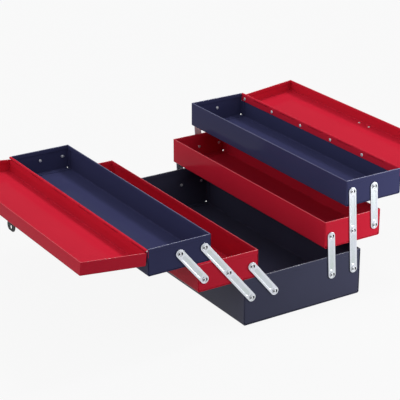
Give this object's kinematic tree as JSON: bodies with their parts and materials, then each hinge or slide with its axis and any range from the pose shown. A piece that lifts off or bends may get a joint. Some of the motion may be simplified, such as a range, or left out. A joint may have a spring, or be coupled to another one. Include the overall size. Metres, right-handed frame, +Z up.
{
  "type": "cantilever tool box",
  "caption": "Steel cantilever tool box with trays on parallelogram links that swing out to each side, and a hinged lid on each top tray.",
  "frame": {"origin": "centre of the base's underside, on the surface it stands on", "axes": "+Z up, Y along the box, X across it; the +X side stands up on its links, the -X side is swung out"},
  "size_m": [0.6536, 0.4376, 0.1955],
  "materials": {
    "red_enamel": "gloss enamel, baked",
    "blue_enamel": "gloss enamel, baked, dark blue",
    "zinc_plate": "bright zinc plate",
    "hinge_steel": "bright rolled steel",
    "black_enamel": "black enamel",
    "black_plastic": "moulded, fine texture"
  },
  "bodies": {
    "base": {"base_trough": "blue_enamel", "base_ends": "blue_enamel", "base_rivets_left": "zinc_plate", "base_rivets_right": "zinc_plate"},
    "long_links_left": {"long_links_left": "zinc_plate"},
    "lower_links_left": {"lower_links_left": "zinc_plate"},
    "upper_links_left": {"upper_links_left": "zinc_plate"},
    "middle_tray_left": {"middle_tray_trough_left": "red_enamel", "middle_tray_ends_left": "red_enamel", "middle_tray_rivets_left": "zinc_plate"},
    "top_tray_left": {"top_tray_trough_left": "blue_enamel", "top_tray_ends_left": "blue_enamel", "top_tray_rivets_left": "zinc_plate", "hinge_leaf_tray_left": "red_enamel", "hinge_pin_left": "hinge_steel"},
    "lid_left": {"lid_pan_left": "red_enamel", "hinge_leaf_lid_left": "red_enamel", "padlock_ear_left": "black_enamel", "handle_brackets_left": "black_enamel"},
    "handle_left": {"handle_bail_left": "black_enamel", "handle_grip_left": "black_plastic"},
    "long_links_right": {"long_links_right": "zinc_plate"},
    "lower_links_right": {"lower_links_right": "zinc_plate"},
    "upper_links_right": {"upper_links_right": "zinc_plate"},
    "middle_tray_right": {"middle_tray_trough_right": "red_enamel", "middle_tray_ends_right": "red_enamel", "middle_tray_rivets_right": "zinc_plate"},
    "top_tray_right": {"top_tray_trough_right": "blue_enamel", "top_tray_ends_right": "blue_enamel", "top_tray_rivets_right": "zinc_plate", "hinge_leaf_tray_right": "red_enamel", "hinge_pin_right": "hinge_steel"},
    "lid_right": {"lid_pan_right": "red_enamel", "hinge_leaf_lid_right": "red_enamel", "padlock_ear_right": "black_enamel", "handle_brackets_right": "black_enamel"},
    "handle_right": {"handle_bail_right": "black_enamel", "handle_grip_right": "black_plastic"}
  },
  "joints": [
    {"name": "side_swing_left", "type": "hinge", "parent": "base", "child": "long_links_left", "pos_m": [-0.093, 0, 0.044], "axis": [0, 1, 0], "range_deg": [0, 78.81]},
    {"name": "lower_link_swing_left", "type": "hinge", "parent": "base", "child": "lower_links_left", "pos_m": [-0.0525, 0, 0.044], "axis": [0, 1, 0], "range_deg": [0, 78.81]},
    {"name": "middle_tray_swing_left", "type": "hinge", "parent": "long_links_left", "child": "middle_tray_left", "pos_m": [-0.1335, 0, 0.0933], "axis": [0, 1, 0], "range_deg": [-78.81, 0]},
    {"name": "top_tray_swing_left", "type": "hinge", "parent": "long_links_left", "child": "top_tray_left", "pos_m": [-0.174, 0, 0.1426], "axis": [0, 1, 0], "range_deg": [-78.81, 0]},
    {"name": "upper_link_swing_left", "type": "hinge", "parent": "middle_tray_left", "child": "upper_links_left", "pos_m": [-0.174, 0, 0.0933], "axis": [0, 1, 0], "range_deg": [0, 78.81]},
    {"name": "lid_hinge_left", "type": "hinge", "parent": "top_tray_left", "child": "lid_left", "pos_m": [-0.2665, 0, 0.1584], "axis": [0, 1, 0], "range_deg": [0, 174]},
    {"name": "handle_swing_left", "type": "hinge", "parent": "lid_left", "child": "handle_left", "pos_m": [-0.34927, 0, 0.13723], "axis": [0, 1, 0], "range_deg": [0, 97]},
    {"name": "side_swing_right", "type": "hinge", "parent": "base", "child": "long_links_right", "pos_m": [0.093, 0, 0.044], "axis": [0, 1, 0], "range_deg": [-35.9, 42.9]},
    {"name": "lower_link_swing_right", "type": "hinge", "parent": "base", "child": "lower_links_right", "pos_m": [0.0525, 0, 0.044], "axis": [0, 1, 0], "range_deg": [-35.9, 42.9]},
    {"name": "middle_tray_swing_right", "type": "hinge", "parent": "long_links_right", "child": "middle_tray_right", "pos_m": [0.08911, 0, 0.10768], "axis": [0, 1, 0], "range_deg": [-42.9, 35.9]},
    {"name": "top_tray_swing_right", "type": "hinge", "parent": "long_links_right", "child": "top_tray_right", "pos_m": [0.08521, 0, 0.17137], "axis": [0, 1, 0], "range_deg": [-42.9, 35.9]},
    {"name": "upper_link_swing_right", "type": "hinge", "parent": "middle_tray_right", "child": "upper_links_right", "pos_m": [0.1296, 0, 0.10768], "axis": [0, 1, 0], "range_deg": [-35.9, 42.9]},
    {"name": "lid_hinge_right", "type": "hinge", "parent": "top_tray_right", "child": "lid_right", "pos_m": [0.17771, 0, 0.18717], "axis": [0, -1, 0], "range_deg": [0, 174]},
    {"name": "handle_swing_right", "type": "hinge", "parent": "lid_right", "child": "handle_right", "pos_m": [0.26048, 0, 0.166], "axis": [0, -1, 0], "range_deg": [0, 97]}
  ],
  "couplings": [
    {"joint": "lower_link_swing_left", "follows": "side_swing_left", "ratio": 1},
    {"joint": "middle_tray_swing_left", "follows": "side_swing_left", "ratio": -1},
    {"joint": "top_tray_swing_left", "follows": "side_swing_left", "ratio": -1},
    {"joint": "upper_link_swing_left", "follows": "side_swing_left", "ratio": 1},
    {"joint": "lower_link_swing_right", "follows": "side_swing_right", "ratio": 1},
    {"joint": "middle_tray_swing_right", "follows": "side_swing_right", "ratio": -1},
    {"joint": "top_tray_swing_right", "follows": "side_swing_right", "ratio": -1},
    {"joint": "upper_link_swing_right", "follows": "side_swing_right", "ratio": 1}
  ]
}
